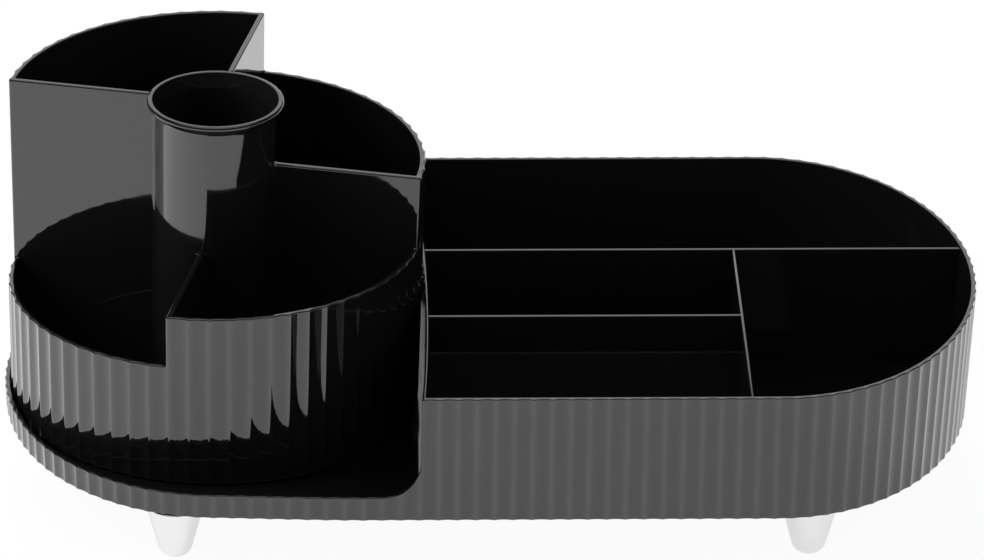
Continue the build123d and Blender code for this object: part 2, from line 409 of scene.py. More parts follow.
@dataclass
class FlutedWall:
    """A drafted wall, fluted outside and smooth inside, closed by a floor, with a stepping rim."""

    flutes: int
    flute_depth: float
    thickness: float
    bottom: float
    floor: float
    draft: float
    rim_rounding: float
    foot_rounding: float
    floor_fillet: float
    step_foot: float
    crown: float
    floor_hole: float = 0.0
    bearing: Bearing = Bearing()
    support: float = 0.25
    # How fast the ridge values fall off beside a ridge; this sets the width of the painted ridge highlight.
    ridge_fall: float = 1.5
    whole: float = field(init=False)
    draft_from: float = field(init=False)
    fluting: Fluting = field(init=False)

    @property
    def slope(self) -> float:
        """Returns the draft as a slope."""
        return math.tan(math.radians(self.draft))

    def outline(self, along: Array) -> tuple[Array, Array, Array, Array]:
        """Returns x, y and the outward normal's x and y of the ridges, where the draft is nought."""
        raise NotImplementedError

    def rim_steps(self) -> list[Step]:
        """Returns the rim's upright edges in order, counter-clockwise."""
        raise NotImplementedError

    def dividers(self) -> list["Plate"]:
        """Returns the plates that stand inside the wall."""
        raise NotImplementedError

    def skirt(self, along: Array) -> list["Row"]:
        """Returns the rows from the floor's lower face to the bottom edge, where the wall goes lower."""
        return []

    def surface(self, along: Array, height: Array, depth: float, fluted: float) -> Array:
        """Returns points moved inwards from the outline by the draft, a depth and the flutes.

        The inset is (h - z) tan(draft) + depth + flute depth, along the outline's normal, with h the
        height where the draft is nought.

        Args:
            along: Distances along the outline.
            height: Heights.
            depth: Extra depth under the ridges.
            fluted: Share of the flutes' depth, 0 for a smooth face.

        Returns:
            Points shaped (count, 3).
        """
        x, y, normal_x, normal_y = self.outline(along)
        inset = (self.draft_from - height) * self.slope + depth + fluted * self.fluting.depth_at(along)
        return np.stack([x - inset * normal_x, y - inset * normal_y, height], axis=-1)

    def floor_middle(self, edge: Array) -> Array:
        """Runs a flat floor straight inwards to the hole round the hub, or to the axis.

        Args:
            edge: Points along the floor's outer edge, shaped (count, 3).

        Returns:
            Points of the same shape.
        """
        offset = edge[:, :2] - np.array(self.bearing.axis)
        way = offset / np.linalg.norm(offset, axis=1, keepdims=True)
        return np.concatenate([np.array(self.bearing.axis) + self.floor_hole * way, edge[:, 2:]], axis=1)

    def row(self, along: Array, height: Array, depth: float, fluted: float = 1.0) -> Row:
        """Returns a row of the surface; its ridge values, which place the painted ridge highlight, are 1 on
        the ridges and fall to 0 beside them.
        """
        ridge = fluted * (1 - self.fluting.depth_at(along) / self.flute_depth) ** self.ridge_fall
        return Row(self.surface(along, height, depth, fluted), ridge)

    def level_row(self, along: Array, height: float, depth: float, fluted: float = 1.0) -> Row:
        """Returns a row at one height."""
        return self.row(along, np.full_like(along, height), depth, fluted)

    def underside(self, along: Array) -> list[Row]:
        """Returns the rows from the floor's middle over the underside and round the bottom edge.

        Args:
            along: Distances along the wall.

        Returns:
            The rows, from the middle outwards.
        """
        rows = self.skirt(along)
        for across, up in zip(*rounding(self.foot_rounding)):
            rows.append(self.level_row(along, self.bottom + up, across))
        rows.append(self.level_row(along, self.bottom + self.foot_rounding + self.support, 0.0))
        return [Row(self.floor_middle(rows[0].points), np.zeros_like(along), starts_flat=True), *rows]

    def rim_path(self) -> RimPath:
        """Joins the upright steps with the level rims between them.

        Returns:
            The closed path of the free edge.
        """
        steps = self.rim_steps()
        stretches = []
        for step, after in zip(steps, [*steps[1:], steps[0]._replace(at=steps[0].at + self.whole)]):
            rises = step.turn is Turn.RISE
            start = step.at + (self.crown if rises else self.step_foot)
            stop = after.at - (self.step_foot if after.turn is Turn.RISE else self.crown)
            level = step.high if rises else step.low
            stretches.append(RimPath.upright(step, self.step_foot, self.crown))
            stretches.append(RimPath.level(self.fluting.stations(start, stop), level))
        return RimPath.join(stretches)

    def wall_grid(self) -> Grid:
        """Carries the wall's section along its rim.

        From the middle of the underside the rows run out, round the bottom edge, up the fluted face, over
        the rim and down the smooth face to the floor's middle. A row that lies d inside the free edge
        has the rim's place plus d times the way into the wall. The faces have a row at the lower end of
        each upright edge, so that what stands beside it shares its points. The smooth face has the fluted
        face's rows in reverse, the wall's thickness further in.

        Returns:
            Points, flat strips and ridge values.
        """
        upright_from = 1 - 1e-9
        digits = 6
        crest_share = 1 / 3
        path = self.rim_path()
        lowest = min(path.height)
        upright = np.abs(path.into_along) > upright_from
        levels = [level for level in sorted(set(np.round(path.height[upright], digits))) if level > lowest]
        inset = self.rim_rounding + self.support
        along = path.along + inset * path.into_along
        height = path.height + inset * path.into_height
        face = [(along, np.minimum(height, level), 0.0) for level in levels]
        face.append((along, height, 0.0))
        for down, across in zip(*rounding(self.rim_rounding)):
            edge_height = path.height + down * path.into_height
            face.append((path.along + down * path.into_along, edge_height, across))
        face.append((path.along, path.height, self.rim_rounding + crest_share * self.support))
        rows = [*self.underside(along), *(self.row(*place) for place in face)]
        for inner_along, inner_height, depth in reversed(face):
            rows.append(self.row(inner_along, inner_height, self.thickness - depth, 0.0))
        above = self.floor + self.floor_fillet + self.support
        rows.append(self.level_row(along, above, self.thickness, 0.0))
        for up, across in zip(*rounding(self.floor_fillet)):
            rows.append(self.level_row(along, self.floor + up, self.thickness + across, 0.0))
        rows[-1].starts_flat = True
        rows.append(Row(self.floor_middle(rows[-1].points), np.zeros_like(along)))
        if self.floor_hole:
            rows.append(Row(rows[0].points, rows[0].ridge))
        flat = tuple(number for number, row in enumerate(rows) if row.starts_flat)
        return np.stack([row.points for row in rows]), flat, np.stack([row.ridge for row in rows])

    def moulding(self, name: str) -> MeshPiece:
        """Starts a piece with the wall and the plates inside it.

        Args:
            name: The piece's name.

        Returns:
            The piece, open to more grids.
        """
        piece = MeshPiece(name)
        piece.add_grid(*self.wall_grid())
        for plate in self.dividers():
            piece.add_grid(*plate.rows())
        return piece


# Upright plates between walls


@dataclass
class Plate:
    """An upright plate along a line in plan, with a rounded top edge and ends hidden in its neighbours."""

    start: tuple[float, float]
    direction: float
    half_thickness: float
    bottom: float
    top: float
    edge_rounding: float
    far_end: float
    far_slope: float = 0.0
    near_end: float = 0.0
    fillet: float = 0.0
    round_neighbour: float = 0.0
    near_limits: tuple[tuple[float, float], ...] = ()
    support: float = 0.2

    def half_outline(self, far_end: float, inset: float) -> Array:
        """Returns one side of the plate's outline, from its far end to its near end.

        The side is the line n = h. With a fillet it ends in the arc of radius f round
        (sqrt((R + f)^2 - (h + f)^2), h + f), which touches the line and the neighbour's circle of radius R.

        Args:
            far_end: Distance of the far end along the line.
            inset: How far the outline is drawn in.

        Returns:
            Points as distance along and across, shaped (count, 2).
        """
        before_fillet = (3.0, 0.25)
        fillet_points = 9
        h = self.half_thickness
        points = [(far_end - inset, 0.0), (far_end - inset, h - inset)]
        if self.fillet:
            reach = self.round_neighbour + self.fillet
            middle = np.array([math.sqrt(reach ** 2 - (h + self.fillet) ** 2), h + self.fillet])
            end_angle = math.atan2(middle[1], middle[0]) + math.pi
            angle = np.linspace(3 * QUARTER_TURN, end_angle, fillet_points)
            arc = middle + (self.fillet + inset) * np.stack([np.cos(angle), np.sin(angle)], axis=-1)
            points.extend((middle[0] + before, h - inset) for before in before_fillet)
            points.extend(map(tuple, arc))
            points.append((self.near_end, points[-1][1]))
        else:
            points.append((self.near_end + inset, h - inset))
        points.append((points[-1][0], 0.0))
        return np.array(points)

    def rows(self) -> tuple[Array, tuple[int, ...]]:
        """Carries the outline up the plate and closes its bottom and top onto its middle line.

        Returns:
            Points shaped (rows, columns, 3), and the strips that are flat.
        """
        spine_inset = 1
        shoulder = self.top - self.edge_rounding - self.support
        levels = [(self.bottom, 0.0)]
        levels.extend((height, 0.0) for height, _ in self.near_limits if height < shoulder)
        levels.append((shoulder, 0.0))
        levels.extend((self.top - down, across) for down, across in zip(*rounding(self.edge_rounding)))
        rows = []
        for height, inset in levels:
            half = self.half_outline(self.far_end + self.far_slope * (height - self.bottom), inset)
            if self.near_limits:
                half[:, 0] = np.maximum(half[:, 0], np.interp(height, *zip(*self.near_limits)))
            loop = np.concatenate([half, half[-2:0:-1] * np.array([1, -1])])
            rows.append(self.placed(loop, height))
        spine = np.clip(loop[:, 0], loop[:, 0].min() + spine_inset, loop[:, 0].max() - spine_inset)
        middle = np.stack([spine, np.zeros_like(spine)], axis=-1)
        grid = np.stack([self.placed(middle, self.bottom), *rows, self.placed(middle, self.top)])
        return grid, (0, len(grid) - 2)

    def placed(self, local: Array, height: float) -> Array:
        """Turns points along and across the plate into the part's frame at a height.

        Args:
            local: Points as distance along and across, shaped (count, 2).
            height: Their height.

        Returns:
            Points shaped (count, 3).
        """
        cos = math.cos(self.direction)
        sin = math.sin(self.direction)
        x = self.start[0] + local[:, 0] * cos - local[:, 1] * sin
        y = self.start[1] + local[:, 0] * sin + local[:, 1] * cos
        return np.stack([x, y, np.full_like(x, height)], axis=-1)


# Finishes


class NodeTools:
    """Short ways to place and join shader nodes."""

    def __init__(self, tree: bpy.types.NodeTree) -> None:
        """Keeps the tree that nodes go into."""
        self.tree = tree

    @staticmethod
    def emptied(owner: bpy.types.Material | bpy.types.World) -> "NodeTools":
        """Empties the node tree of a material or the world.

        Args:
            owner: The material or the world.

        Returns:
            The tools of its tree.
        """
        owner.use_nodes = True
        owner.node_tree.nodes.clear()
        return NodeTools(owner.node_tree)

    def node(self, kind: str, sockets: Sockets | None = None, **properties: object) -> bpy.types.Node:
        """Adds a node, sets its properties and gives its inputs values or links.

        Args:
            kind: Blender's type name of the node.
            sockets: Values and outputs for its inputs.
            properties: Properties of the node.

        Returns:
            The new node.
        """
        new = self.tree.nodes.new(kind)
        for name, value in properties.items():
            setattr(new, name, value)
        for key, value in (sockets or {}).items():
            if isinstance(value, bpy.types.NodeSocket):
                self.tree.links.new(value, new.inputs[key])
            else:
                new.inputs[key].default_value = value
        return new

    def compute(self, operation: str, *values: object) -> bpy.types.NodeSocket:
        """Adds a Math node for some values or outputs and returns its output."""
        return self.node("ShaderNodeMath", dict(enumerate(values)), operation=operation).outputs["Value"]

    def smooth_step(self, sockets: Sockets) -> bpy.types.NodeSocket:
        """Adds a Map Range node that rises smoothly and returns its output."""
        return self.node("ShaderNodeMapRange", sockets, interpolation_type="SMOOTHSTEP").outputs["Result"]


def new_group(name: str, numbers: tuple[str, ...], result: str) -> tuple[NodeTools, bpy.types.Node]:
    """Starts a shader group that takes a place and numbers and gives one number.

    Args:
        name: The group's name.
        numbers: Names of the inputs that are numbers.
        result: Name of the output.

    Returns:
        The tools of the group's tree, and its input node.
    """
    tree = bpy.data.node_groups.new(name, "ShaderNodeTree")
    tree.interface.new_socket("Vector", in_out="INPUT", socket_type="NodeSocketVector")
    for number in numbers:
        tree.interface.new_socket(number, in_out="INPUT", socket_type="NodeSocketFloat")
    tree.interface.new_socket(result, in_out="OUTPUT", socket_type="NodeSocketFloat")
    tools = NodeTools(tree)
    return tools, tools.node("NodeGroupInput")


def moulded_ripple_group() -> bpy.types.NodeTree:
    """Builds the group that gives a moulded surface its slow waves and fine orange peel.

    Returns:
        The node group; its output is a height for a Bump node.
    """
    tools, entry = new_group("Moulded Ripple", ("Wave Scale", "Peel Scale", "Peel Share"), "Height")
    given = entry.outputs
    wave = tools.node("ShaderNodeTexNoise", {
        "Vector": given["Vector"], "Scale": given["Wave Scale"], "Detail": 1.0, "Roughness": 0.4,
    })
    peel = tools.node("ShaderNodeTexNoise", {
        "Vector": given["Vector"], "Scale": given["Peel Scale"], "Detail": 2.0, "Roughness": 0.5,
    })
    share = tools.compute("MULTIPLY", peel.outputs["Fac"], given["Peel Share"])
    tools.node("NodeGroupOutput", {"Height": tools.compute("ADD", wave.outputs["Fac"], share)})
    return tools.tree


def handling_haze_group() -> bpy.types.NodeTree:
    """Builds the group that varies roughness between clean places and faint wiped patches.

    Returns:
        The node group; its output is a roughness.
    """
    tools, entry = new_group("Handling Haze", ("Scale", "Clean", "Hazy"), "Roughness")
    given = entry.outputs
    patches = tools.node("ShaderNodeTexNoise", {
        "Vector": given["Vector"], "Scale": given["Scale"], "Detail": 5.0, "Roughness": 0.65,
        "Distortion": 0.6,
    })
    spread = tools.smooth_step({
        "Value": patches.outputs["Fac"], "From Min": 0.4, "From Max": 0.72,
        "To Min": given["Clean"], "To Max": given["Hazy"],
    })
    tools.node("NodeGroupOutput", {"Roughness": spread})
    return tools.tree


class SurfaceEffects:
    """The shader groups that several finishes share, built once."""

    def __init__(self) -> None:
        """Builds the groups."""
        self.ripple = moulded_ripple_group()
        self.haze = handling_haze_group()


@dataclass(frozen=True)
class Finish:
    """A moulded or metal finish: its colour, gloss, fine relief and any painted highlight on flute ridges.
    """

    name: str
    colour: tuple[float, float, float]
    second_colour: tuple[float, float, float]
    roughness: tuple[float, float]
    metallic: float = 0.0
    specular_level: float = 0.5
    coat: float = 0.0
    coat_roughness: float = 0.03
    coat_index: float = 1.5
    # Coat weight on the flute ridges: a painted highlight that makes the ridges show as light lines.
    ridge_highlight_coat: float | None = None
    wave_scale: float = 30.0
    peel_scale: float = 900.0
    peel_share: float = 0.1
    relief: float = 0.00002
    haze_scale: float = 25.0

    def material(self, effects: SurfaceEffects) -> bpy.types.Material:
        """Makes the finish's material on Object coordinates.

        Args:
            effects: The shared shader groups.

        Returns:
            The material.
        """
        material = bpy.data.materials.new(self.name)
        tools = NodeTools.emptied(material)
        place = tools.node("ShaderNodeTexCoord").outputs["Object"]
        ripple = tools.node("ShaderNodeGroup", node_tree=effects.ripple, sockets={
            "Vector": place, "Wave Scale": self.wave_scale, "Peel Scale": self.peel_scale,
            "Peel Share": self.peel_share,
        })
        bump = tools.node("ShaderNodeBump", {
            "Height": ripple.outputs["Height"], "Strength": 1.0, "Distance": self.relief,
        })
        clean, hazy = self.roughness
        haze = tools.node("ShaderNodeGroup", node_tree=effects.haze, sockets={
            "Vector": place, "Scale": self.haze_scale, "Clean": clean, "Hazy": hazy,
        })
        clouds = tools.node("ShaderNodeTexNoise", {
            "Vector": place, "Scale": self.haze_scale / 2, "Detail": 3.0,
        })
        blend = tools.node("ShaderNodeMix", data_type="RGBA", sockets={
            "Factor": clouds.outputs["Fac"], "A": (*self.colour, 1.0), "B": (*self.second_colour, 1.0),
        })
        shader = tools.node("ShaderNodeBsdfPrincipled", {
            "Base Color": blend.outputs["Result"], "Roughness": haze.outputs["Roughness"],
            "Metallic": self.metallic, "Specular IOR Level": self.specular_level, "Coat Weight": self.coat,
            "Coat Roughness": self.coat_roughness, "Coat IOR": self.coat_index,
            "Normal": bump.outputs["Normal"],
        })
        # Painted highlight: the coat weight rises from the plain coat to a stronger one towards the flutes'
        # ridges, so the ridges read as light lines.
        if self.ridge_highlight_coat:
            ridge = tools.node("ShaderNodeAttribute", attribute_name=RIDGE)
            painted_ridge_highlight = tools.node("ShaderNodeMapRange", {
                "Value": ridge.outputs["Fac"], "To Min": self.coat, "To Max": self.ridge_highlight_coat,
            })
            tools.tree.links.new(painted_ridge_highlight.outputs["Result"], shader.inputs["Coat Weight"])
        tools.node("ShaderNodeOutputMaterial", {"Surface": shader.outputs["BSDF"]})
        return material


GLOSS_BLACK = Finish(
    name="Gloss Black Plastic",
    colour=(0.0055, 0.0055, 0.0059),
    second_colour=(0.008, 0.008, 0.0085),
    roughness=(0.03, 0.07),
    specular_level=0.95,
    coat=0.28,
    # The full coat on the ridges is a painted highlight.
    ridge_highlight_coat=1.0,
)
BRIGHT_PLATING = Finish(
    "Bright Plating", (0.96, 0.96, 0.955), (0.93, 0.93, 0.93), (0.05, 0.12), metallic=1.0,
)
NATURAL_ACETAL = Finish("Natural Acetal", (0.8, 0.8, 0.77), (0.74, 0.74, 0.71), (0.35, 0.5))
HARD_STEEL = Finish("Polished Hard Steel", (0.6, 0.6, 0.61), (0.54, 0.54, 0.55), (0.08, 0.2), metallic=1.0)
ZINC_PLATE = Finish(
    "Zinc Plate", (0.56, 0.57, 0.58), (0.48, 0.49, 0.5), (0.22, 0.4), metallic=1.0, wave_scale=200.0,
)


# The object's sub-assemblies


@dataclass
class Caddy(FlutedWall):
    """The turning caddy: fluted wall with stepped rims, dividers, cup, pivot pin and ball track."""

    flutes: int = 64
    flute_depth: float = 0.585
    thickness: float = 2.3
    bottom: float = 22.7
    under: float = 28.5
    floor: float = 30.5
    draft: float = 1.15
    rim_rounding: float = 0.55
    foot_rounding: float = 0.4
    floor_fillet: float = 1.0
    step_foot: float = 0.75
    crown: float = 0.75
    turn: float = -13.5
    lowest_rim: float = 67.0
    third_rim: float = 86.0
    second_rim: float = 113.0
    tallest_rim: float = 135.0
    ridge_radius: float = 70.8
    unroll_radius: float = 71.0
    divider_half: float = 1.0
    divider_fillet: float = 1.5
    divider_end: float = 0.95
    cup_radius: float = 20.9
    cup_wall: float = 1.8
    cup_fillet: float = 1.5
    cup_segments: int = 128
    lip_reach: float = 2.7
    lip_drop: float = 4.6
    lip_support: float = 0.3
    lip_edge: float = 1.3
    lip_width: float = 2.0
    lip_inner_edge: float = 0.6
    lip_shoulder: float = 0.9
    lip_inner_rounding: float = 0.45
    pin_radius: float = 4.0
    pin_end: float = 23.3
    pin_rounding: float = 0.3
    pin_segments: int = 64

    def __post_init__(self) -> None:
        """Measures the wall and the cup."""
        self.whole = 4 * QUARTER_TURN * self.unroll_radius
        self.draft_from = self.bottom
        self.fluting = Fluting(self.whole / self.flutes, self.flute_depth)
        self.lip_radius = self.cup_radius + self.lip_reach
        self.bore = self.cup_radius - self.cup_wall

    def outline(self, along: Array) -> tuple[Array, Array, Array, Array]:
        """Returns points and normals of a circle, at the angle along / R, R being the unrolling radius.

        Args:
            along: Distances along the wall, unrolled.

        Returns:
            x, y and the normal's x and y.
        """
        angle = along / self.unroll_radius + math.radians(self.turn)
        cos = np.cos(angle)
        sin = np.sin(angle)
        middle_x, middle_y = self.bearing.axis
        return middle_x + self.ridge_radius * cos, middle_y + self.ridge_radius * sin, cos, sin

    def skirt(self, along: Array) -> list[Row]:
        """Returns the floor's outer corner underneath and the skirt's inner edge."""
        return [self.level_row(along, height, self.thickness, 0.0) for height in (self.under, self.bottom)]

    def rim_steps(self) -> list[Step]:
        """Places the rim's steps: three rises, each at a divider's far face, and a drop back to the start.

        Returns:
            The steps, from the drop beside the lowest well.
        """
        quarter = QUARTER_TURN * self.unroll_radius
        face = self.divider_half
        return [
            Step(2 * quarter + face, self.lowest_rim, self.tallest_rim, Turn.DROP),
            Step(3 * quarter - face, self.lowest_rim, self.third_rim, Turn.RISE),
            Step(4 * quarter - face, self.third_rim, self.second_rim, Turn.RISE),
            Step(5 * quarter - face, self.second_rim, self.tallest_rim, Turn.RISE),
        ]

    def dividers(self) -> list[Plate]:
        """Places the four dividers; each is as tall as the taller well beside it.

        Returns:
            The dividers, with their ends hidden in the wall and the cup.
        """
        tops = (self.second_rim, self.tallest_rim, self.tallest_rim, self.third_rim)
        far_end = self.ridge_radius + (self.floor - ROOT - self.bottom) * self.slope - self.divider_end
        plates = []
        for quarter, top in enumerate(tops):
            plates.append(Plate(
                start=self.bearing.axis,
                direction=quarter * QUARTER_TURN + math.radians(self.turn),
                half_thickness=self.divider_half + 2 * SPARE,
                bottom=self.floor - ROOT,
                top=top - SPARE,
                edge_rounding=self.rim_rounding,
                near_end=self.cup_radius - self.cup_wall / 2,
                far_end=far_end,
                far_slope=self.slope,
                fillet=self.divider_fillet,
                round_neighbour=self.cup_radius,
                near_limits=self.lip_middle() if top == self.tallest_rim else (),
            ))
        return plates

    def lip_faces(self) -> tuple[Array, Array]:
        """Returns the outer and the inner face of the lip, flared outside and a plain cone inside.

        Outside, the radius follows a circle's arc, 1 - sqrt(1 - (0.86 s)^2) scaled to the lip's reach,
        with s from 0 at the lower height to 1 at the upper.

        Returns:
            Both faces as radii and heights, from the bottom up, shaped (count, 2).
        """
        sweep = 0.86
        points = 9
        low = self.tallest_rim - self.lip_drop
        share = np.linspace(0, 1, points)
        bend = (1 - np.sqrt(1 - (share * sweep) ** 2)) / (1 - math.sqrt(1 - sweep ** 2))
        height = low + (self.lip_drop - self.lip_edge) * share
        outer = np.stack([self.cup_radius + self.lip_reach * bend, height], axis=-1)
        inner = np.array([
            (self.bore, low),
            (self.lip_radius - self.lip_width, self.tallest_rim - self.lip_inner_edge),
        ])
        return outer, inner

    def lip_middle(self) -> tuple[tuple[float, float], ...]:
        """Finds where dividers that reach the lip may end.

        Returns:
            Heights and radii along the middle of the lip's wall, from the bottom up.
        """
        outer, inner = self.lip_faces()
        heights = outer[:, 1]
        middles = (outer[:, 0] + np.interp(heights, inner[:, 1], inner[:, 0])) / 2
        top = (self.tallest_rim, self.lip_radius - self.lip_width / 2)
        return (*zip(heights.tolist(), middles.tolist()), top)

    def cup_profile(self) -> Profile:
        """Joins the cup's section: a tube with a flared lip and a rounded bottom inside.

        Returns:
            The section, from the axis underneath to the axis inside.
        """
        top = self.tallest_rim
        below_lip = top - self.lip_drop - self.lip_support
        outer, inner = self.lip_faces()
        return [
            (0.0, self.floor - ROOT, 0.0),
            (self.cup_radius, self.floor - ROOT, 0.0),
            (self.cup_radius, below_lip, 0.0),
            *((radius, height, 0.0) for radius, height in outer),
            (self.lip_radius, top, self.lip_shoulder),
            (self.lip_radius - self.lip_width, top, self.lip_inner_rounding),
            *((radius, height, 0.0) for radius, height in inner[::-1]),
            (self.bore, below_lip, 0.0),
            (self.bore, self.floor + 2 * SPARE, self.cup_fillet),
            (0.0, self.floor + 2 * SPARE, 0.0),
        ]

    def build(self, plastic: bpy.types.Material) -> bpy.types.Object:
        """Builds the caddy as one moulding.

        Args:
            plastic: The gloss plastic.

        Returns:
            The caddy's object.
        """
        piece = self.moulding("caddy_moulding")
        root = self.under + ROOT
        pin = post(self.pin_radius, self.pin_end, root, self.pin_rounding)
        piece.add_grid(lathe(self.cup_profile(), self.bearing.axis, self.cup_segments))
        piece.add_grid(lathe(pin, self.bearing.axis, self.pin_segments))
        piece.add_grid(self.bearing.rib(root, self.under - self.bearing.track_height))
        return piece.build(plastic)


@dataclass
class Base(FlutedWall):
    """The base: a fluted shell that is tall round the tray and low round the caddy.

    Its outline is two half ellipses joined by straight sides.
    """

    flutes: int = 144
    flute_depth: float = 0.5
    thickness: float = 2.0
    bottom: float = 19.5
    floor: float = 21.7
    draft: float = 3.0
    rim_rounding: float = 0.4
    foot_rounding: float = 0.6
    floor_fillet: float = 0.8
    step_foot: float = 13.5
    crown: float = 0.75
    floor_hole: float = 7.7
    middle_x: float = -1.00885
    half_width: float = 95.0
    end_reach: float = 73.0
    straight_half: float = 97.0
    outline_samples: int = 4000
    low_rim: float = 28.5
    rim: float = 67.0
    slim: float = 3.0
    slim_middle: float = -118.0
    slim_reach: float = 78.0
    sweep_x: float = -26.1
    bow: float = 3.2
    end_wall: float = 1.25
    end_wall_inset: float = 0.9
    end_wall_points: int = 81
    end_rounding: float = 0.6
    end_support: float = 0.2
    divider_half: float = 0.7
    divider_top: float = 66.2
    divider_rounding: float = 0.3
    divider_end: float = 0.8
    long_divider_y: float = 21.8
    short_divider_y: float = -29.7
    cross_divider_x: float = 85.99115
    hub_radius: float = 8.8
    hub_top: float = 28.0
    hub_bore: float = 4.08
    hub_rounding: float = 0.3
    hub_segments: int = 96
    recess_radius: float = 6.6
    recess_ceiling: float = 23.5
    boss_radius: float = 4.5
    boss_length: float = 8.5
    boss_rounding: float = 0.4
    boss_segments: int = 48
    foot_x: float = 108.5
    foot_y: float = 78.0

    def __post_init__(self) -> None:
        """Measures a quarter of the outline and spreads the flutes round the whole."""
        self.curve_angle = np.linspace(0, QUARTER_TURN, self.outline_samples + 1)
        x = self.straight_half + self.end_reach * np.cos(self.curve_angle)
        y = self.half_width * np.sin(self.curve_angle)
        self.curve_length = np.concatenate([[0], np.cumsum(np.hypot(np.diff(x), np.diff(y)))])
        self.quarter = self.curve_length[-1] + self.straight_half
        self.whole = 4 * self.quarter
        self.draft_from = self.rim
        self.fluting = Fluting(self.whole / self.flutes, self.flute_depth)

    def outline(self, along: Array) -> tuple[Array, Array, Array, Array]:
        """Returns the outline's points and outward normals.

        The distance is folded into the first quarter: an ellipse (a + e cos t, b sin t) up to the middle
        of the side, then a straight line; the signs put it back into its own quarter. Beside the caddy
        the outline is slimmer by s cos^2 of a half turn over the reach on both sides of its middle.

        Args:
            along: Distances counter-clockwise from the +X end.

        Returns:
            x, y and the normal's x and y.
        """
        wrapped = along % self.whole
        side_x = np.where((wrapped > self.quarter) & (wrapped < 3 * self.quarter), -1, 1)
        side_y = np.where(wrapped > 2 * self.quarter, -1, 1)
        folded = np.where(side_y < 0, self.whole - wrapped, wrapped)
        folded = np.where(folded > self.quarter, 2 * self.quarter - folded, folded)
        angle = np.interp(folded, self.curve_length, self.curve_angle)
        straight = np.maximum(folded - self.curve_length[-1], 0)
        reach = np.where(straight > 0, -straight, self.end_reach * np.cos(angle))
        steep_x = side_x * np.cos(angle) / self.end_reach
        steep_y = side_y * np.sin(angle) / self.half_width
        normal_x, normal_y = np.stack([steep_x, steep_y]) / np.hypot(steep_x, steep_y)
        x = side_x * (self.straight_half + reach)
        y = side_y * self.half_width * np.sin(angle)
        beside = np.clip((x - self.slim_middle) / self.slim_reach, -1, 1)
        slimmer = self.slim * np.cos(beside * QUARTER_TURN) ** 2
        return self.middle_x + x - slimmer * normal_x, y - slimmer * normal_y, normal_x, normal_y

    def rim_steps(self) -> list[Step]:
        """Places the two sweeps between the tray's high rim and the low end's.

        Returns:
            The rear sweep and the front one.
        """
        rear = self.curve_length[-1] + self.straight_half - (self.sweep_x - self.middle_x)
        places = ((rear, Turn.DROP), (self.whole - rear, Turn.RISE))
        return [Step(at, self.low_rim, self.rim, turn) for at, turn in places]

    def bowed_x(self, y: Array | float) -> Array | float:
        """Returns x of the end wall's near face: a circle's arc, the bow further in at its middle."""
        radius = (self.half_width ** 2 + self.bow ** 2) / (2 * self.bow)
        return self.sweep_x + np.sqrt(radius ** 2 - y ** 2) - (radius - self.bow)

    def end_wall_rows(self) -> tuple[Array, tuple[int, ...]]:
        """Returns the tray's bowed end wall.

        The grid runs up both faces and over a rounded rim, and is closed along the wall's middle.

        Returns:
            Points shaped (rows, columns, 3), and the strips that are flat.
        """
        y_end = self.half_width - self.end_wall_inset
        y = np.linspace(-y_end, y_end, self.end_wall_points)
        root = self.floor - ROOT
        shoulder = self.rim - self.end_rounding - self.end_support
        levels = [(root, self.end_wall / 2), (root, 0.0), (shoulder, 0.0)]
        top = self.rim - SPARE
        levels.extend((top - down, across) for down, across in zip(*rounding(self.end_rounding)))
        levels.append((levels[-1][0], self.end_wall / 2))
        rows = []
        for height, inset in levels:
            y_here = y * (y_end - (self.rim - height) * self.slope) / y_end
            heights = np.full_like(y, height)
            near = np.stack([self.bowed_x(y) + inset, y_here, heights], axis=-1)
            far = np.stack([self.bowed_x(y) + self.end_wall - inset, y_here, heights], axis=-1)
            rows.append(np.concatenate([near, far[::-1]]))
        return np.stack(rows), (0,)

    def dividers(self) -> list[Plate]:
        """Places the tray's three dividers.

        Returns:
            The long, the short and the cross divider, with their ends hidden in the walls that they meet.
        """
        root = self.floor - ROOT
        inset = (self.rim - root) * self.slope + self.thickness
        long_start = self.bowed_x(self.long_divider_y) + self.end_wall / 2
        short_start = self.bowed_x(self.short_divider_y) + self.end_wall / 2
        share = math.sqrt(1 - (self.long_divider_y / (self.half_width - inset)) ** 2)
        right_end = self.middle_x + self.straight_half + (self.end_reach - inset) * share
        long_divider = Plate(
            (long_start, self.long_divider_y), 0.0, self.divider_half, root, self.divider_top,
            self.divider_rounding, far_end=right_end + self.divider_end - long_start, far_slope=self.slope,
        )
        short_divider = Plate(
            (short_start, self.short_divider_y), 0.0, self.divider_half, root, self.divider_top - 2 * SPARE,
            self.divider_rounding, far_end=self.cross_divider_x - short_start,
        )
        cross_divider = Plate(
            (self.cross_divider_x, self.long_divider_y), -QUARTER_TURN, self.divider_half, root,
            self.divider_top - SPARE, self.divider_half - 2 * SPARE,
            far_end=self.long_divider_y + self.half_width - inset + self.divider_end, far_slope=self.slope,
        )
        return [long_divider, short_divider, cross_divider]

